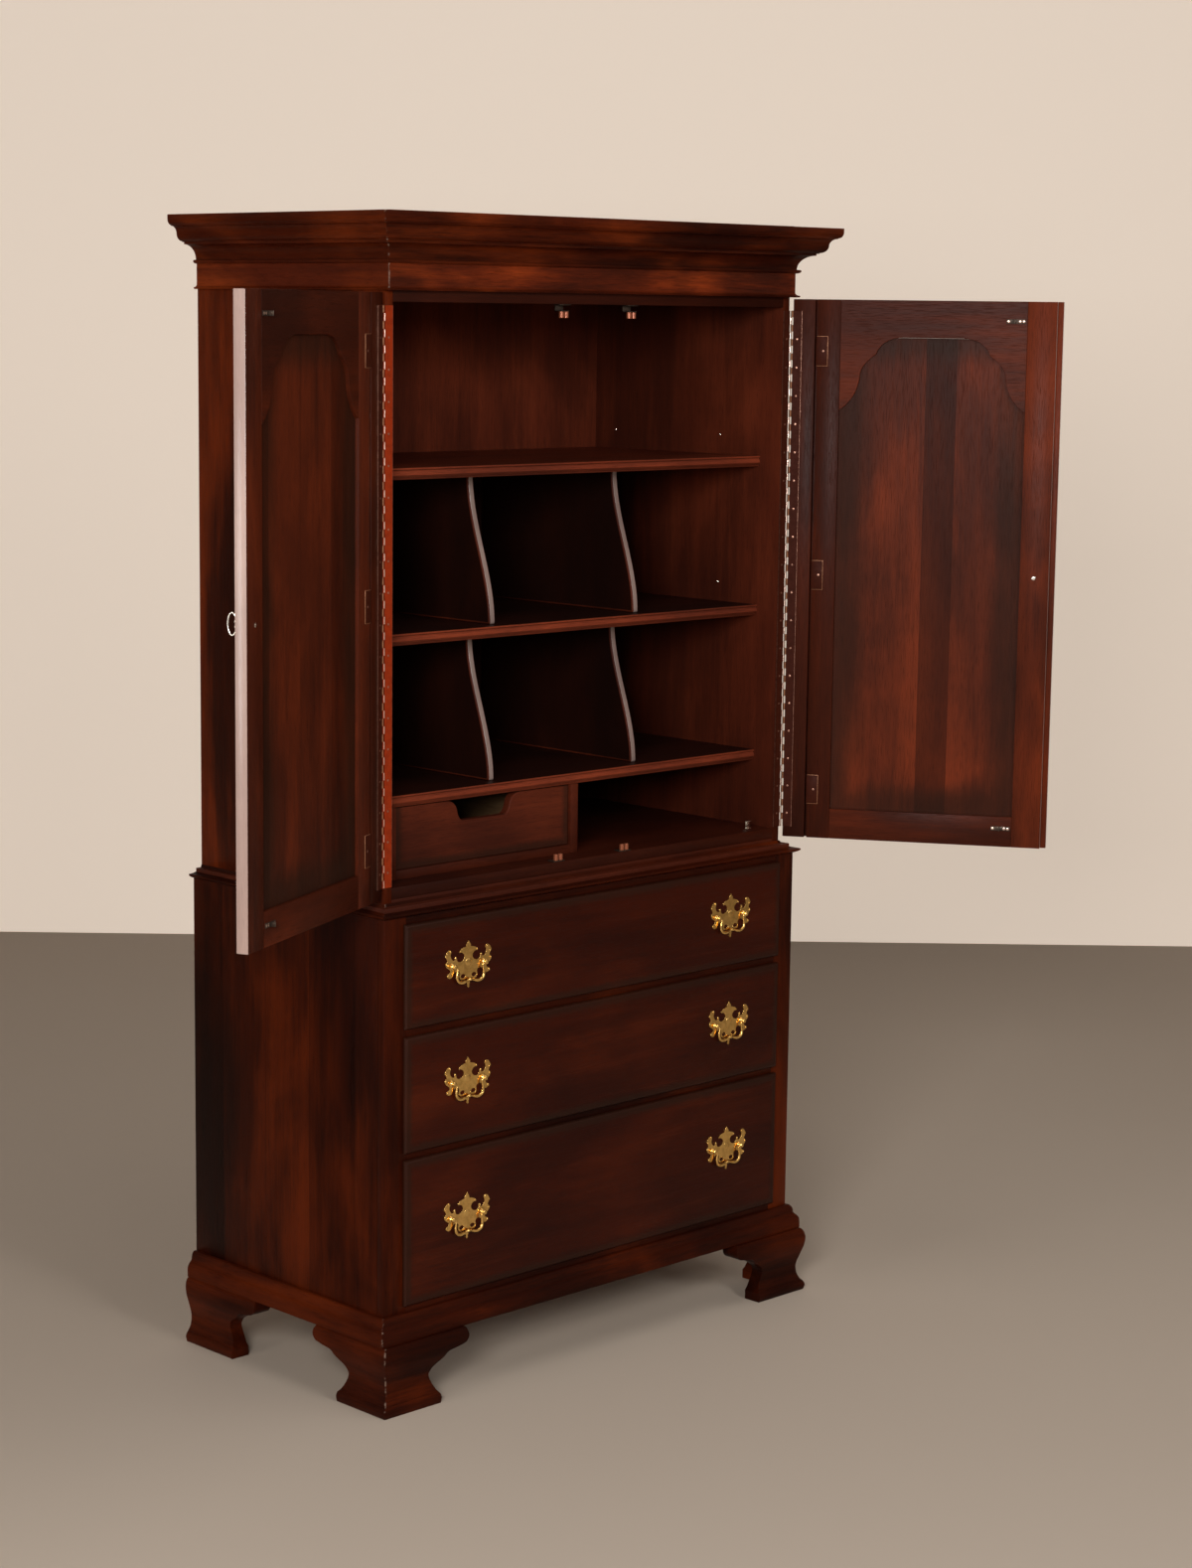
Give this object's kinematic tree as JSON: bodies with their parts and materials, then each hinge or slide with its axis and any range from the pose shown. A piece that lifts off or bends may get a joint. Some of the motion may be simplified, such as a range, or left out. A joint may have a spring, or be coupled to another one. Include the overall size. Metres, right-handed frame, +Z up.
{
  "type": "gentleman's chest",
  "caption": "Two-part wooden chest with lipped drawers below and a two-door cabinet above, fitted with shelves, dividers and a tray drawer, on ogee bracket feet.",
  "frame": {"origin": "on the floor, at the middle of the whole footprint with the doors open as pictured", "axes": "+Z up, front towards -Y, +X to the right of someone facing the front"},
  "size_m": [1.6857, 0.8913, 1.9695],
  "materials": {
    "mahogany": "satin lacquered red-brown mahogany with darker burnished edges",
    "inside_wood": "satin lacquered dark mahogany of the cabinet's inside",
    "back_wood": "stained plywood back",
    "drawer_wood": "pale unfinished wood of the drawer boxes",
    "brass": "polished brass with slight tarnish in the hollows",
    "hinge_brass": "dulled brass plate",
    "key_metal": "pale polished brass",
    "catch_rollers": "brown nylon rollers",
    "catch_metal": "plated steel bracket"
  },
  "bodies": {
    "case": {"lower_side_left": "mahogany", "lower_side_right": "mahogany", "lower_back": "back_wood", "drawer_frame": "mahogany", "base_moulding": "mahogany", "waist_moulding": "mahogany", "front_foot_left": "mahogany", "front_foot_right": "mahogany", "rear_foot_left": "mahogany", "rear_foot_right": "mahogany", "upper_side_left": "mahogany", "upper_side_right": "mahogany", "upper_back": "back_wood", "upper_bottom": "inside_wood", "cornice": "mahogany", "shelf_1": "inside_wood", "shelf_2": "inside_wood", "shelf_3": "inside_wood", "divider_upper_left": "inside_wood", "divider_upper_right": "inside_wood", "divider_lower_left": "inside_wood", "divider_lower_right": "inside_wood", "catch_top_left": "catch_rollers", "catch_top_right": "catch_rollers", "catch_bottom_left": "catch_rollers", "catch_bottom_right": "catch_rollers", "hinge_case_leaf_left": "hinge_brass", "hinge_case_leaf_right": "hinge_brass"},
    "left_stile": {"hinge_stile_left": "mahogany", "hinge_stile_leaf_left": "hinge_brass"},
    "left_door": {"door_frame_left": "mahogany", "door_panel_left": "mahogany", "key_pull_left": "key_metal", "wrap_hinge_left_1": "hinge_brass", "wrap_hinge_left_2": "hinge_brass", "wrap_hinge_left_3": "hinge_brass"},
    "right_stile": {"hinge_stile_right": "mahogany", "hinge_stile_leaf_right": "hinge_brass"},
    "right_door": {"door_frame_right": "mahogany", "door_panel_right": "mahogany", "key_pull_right": "key_metal", "wrap_hinge_right_1": "hinge_brass", "wrap_hinge_right_2": "hinge_brass", "wrap_hinge_right_3": "hinge_brass"},
    "drawer_1": {"drawer_1": "mahogany", "pull_plate_1_left": "brass", "pull_plate_1_right": "brass"},
    "bail_1_left": {"pull_bail_1_left": "brass"},
    "bail_1_right": {"pull_bail_1_right": "brass"},
    "drawer_2": {"drawer_2": "mahogany", "pull_plate_2_left": "brass", "pull_plate_2_right": "brass"},
    "bail_2_left": {"pull_bail_2_left": "brass"},
    "bail_2_right": {"pull_bail_2_right": "brass"},
    "drawer_3": {"drawer_3": "mahogany", "pull_plate_3_left": "brass", "pull_plate_3_right": "brass"},
    "bail_3_left": {"pull_bail_3_left": "brass"},
    "bail_3_right": {"pull_bail_3_right": "brass"},
    "tray": {"tray_drawer": "inside_wood"}
  },
  "joints": [
    {"name": "left_stile_hinge", "type": "hinge", "parent": "case", "child": "left_stile", "pos_m": [-0.40129, -0.04073, 1.3505], "axis": [0, 0, -1], "range_deg": [-155.2, 24.8]},
    {"name": "left_door_hinge", "type": "hinge", "parent": "left_stile", "child": "left_door", "pos_m": [-0.45203, -0.0395, 1.346], "axis": [0, 0, -1], "range_deg": [0, 90]},
    {"name": "right_stile_hinge", "type": "hinge", "parent": "case", "child": "right_stile", "pos_m": [0.56171, -0.04073, 1.3505], "axis": [0, 0, 1], "range_deg": [-122.7, 57.3]},
    {"name": "right_door_hinge", "type": "hinge", "parent": "right_stile", "child": "right_door", "pos_m": [0.60517, -0.06696, 1.346], "axis": [0, 0, 1], "range_deg": [0, 90]},
    {"name": "drawer_1_slide", "type": "slide", "parent": "case", "child": "drawer_1", "axis": [0, -1, 0], "range_m": [0, 0.36]},
    {"name": "bail_1_left_hinge", "type": "hinge", "parent": "drawer_1", "child": "bail_1_left", "pos_m": [-0.23899, -0.07583, 0.7378], "axis": [-1, 0, 0], "range_deg": [0, 85]},
    {"name": "bail_1_right_hinge", "type": "hinge", "parent": "drawer_1", "child": "bail_1_right", "pos_m": [0.39942, -0.07583, 0.7378], "axis": [-1, 0, 0], "range_deg": [0, 85]},
    {"name": "drawer_2_slide", "type": "slide", "parent": "case", "child": "drawer_2", "axis": [0, -1, 0], "range_m": [0, 0.36]},
    {"name": "bail_2_left_hinge", "type": "hinge", "parent": "drawer_2", "child": "bail_2_left", "pos_m": [-0.23899, -0.07583, 0.5389], "axis": [-1, 0, 0], "range_deg": [0, 85]},
    {"name": "bail_2_right_hinge", "type": "hinge", "parent": "drawer_2", "child": "bail_2_right", "pos_m": [0.39942, -0.07583, 0.5389], "axis": [-1, 0, 0], "range_deg": [0, 85]},
    {"name": "drawer_3_slide", "type": "slide", "parent": "case", "child": "drawer_3", "axis": [0, -1, 0], "range_m": [0, 0.36]},
    {"name": "bail_3_left_hinge", "type": "hinge", "parent": "drawer_3", "child": "bail_3_left", "pos_m": [-0.23899, -0.07583, 0.3052], "axis": [-1, 0, 0], "range_deg": [0, 85]},
    {"name": "bail_3_right_hinge", "type": "hinge", "parent": "drawer_3", "child": "bail_3_right", "pos_m": [0.39942, -0.07583, 0.3052], "axis": [-1, 0, 0], "range_deg": [0, 85]},
    {"name": "tray_slide", "type": "slide", "parent": "case", "child": "tray", "axis": [0, -1, 0], "range_m": [0, 0.3]}
  ]
}
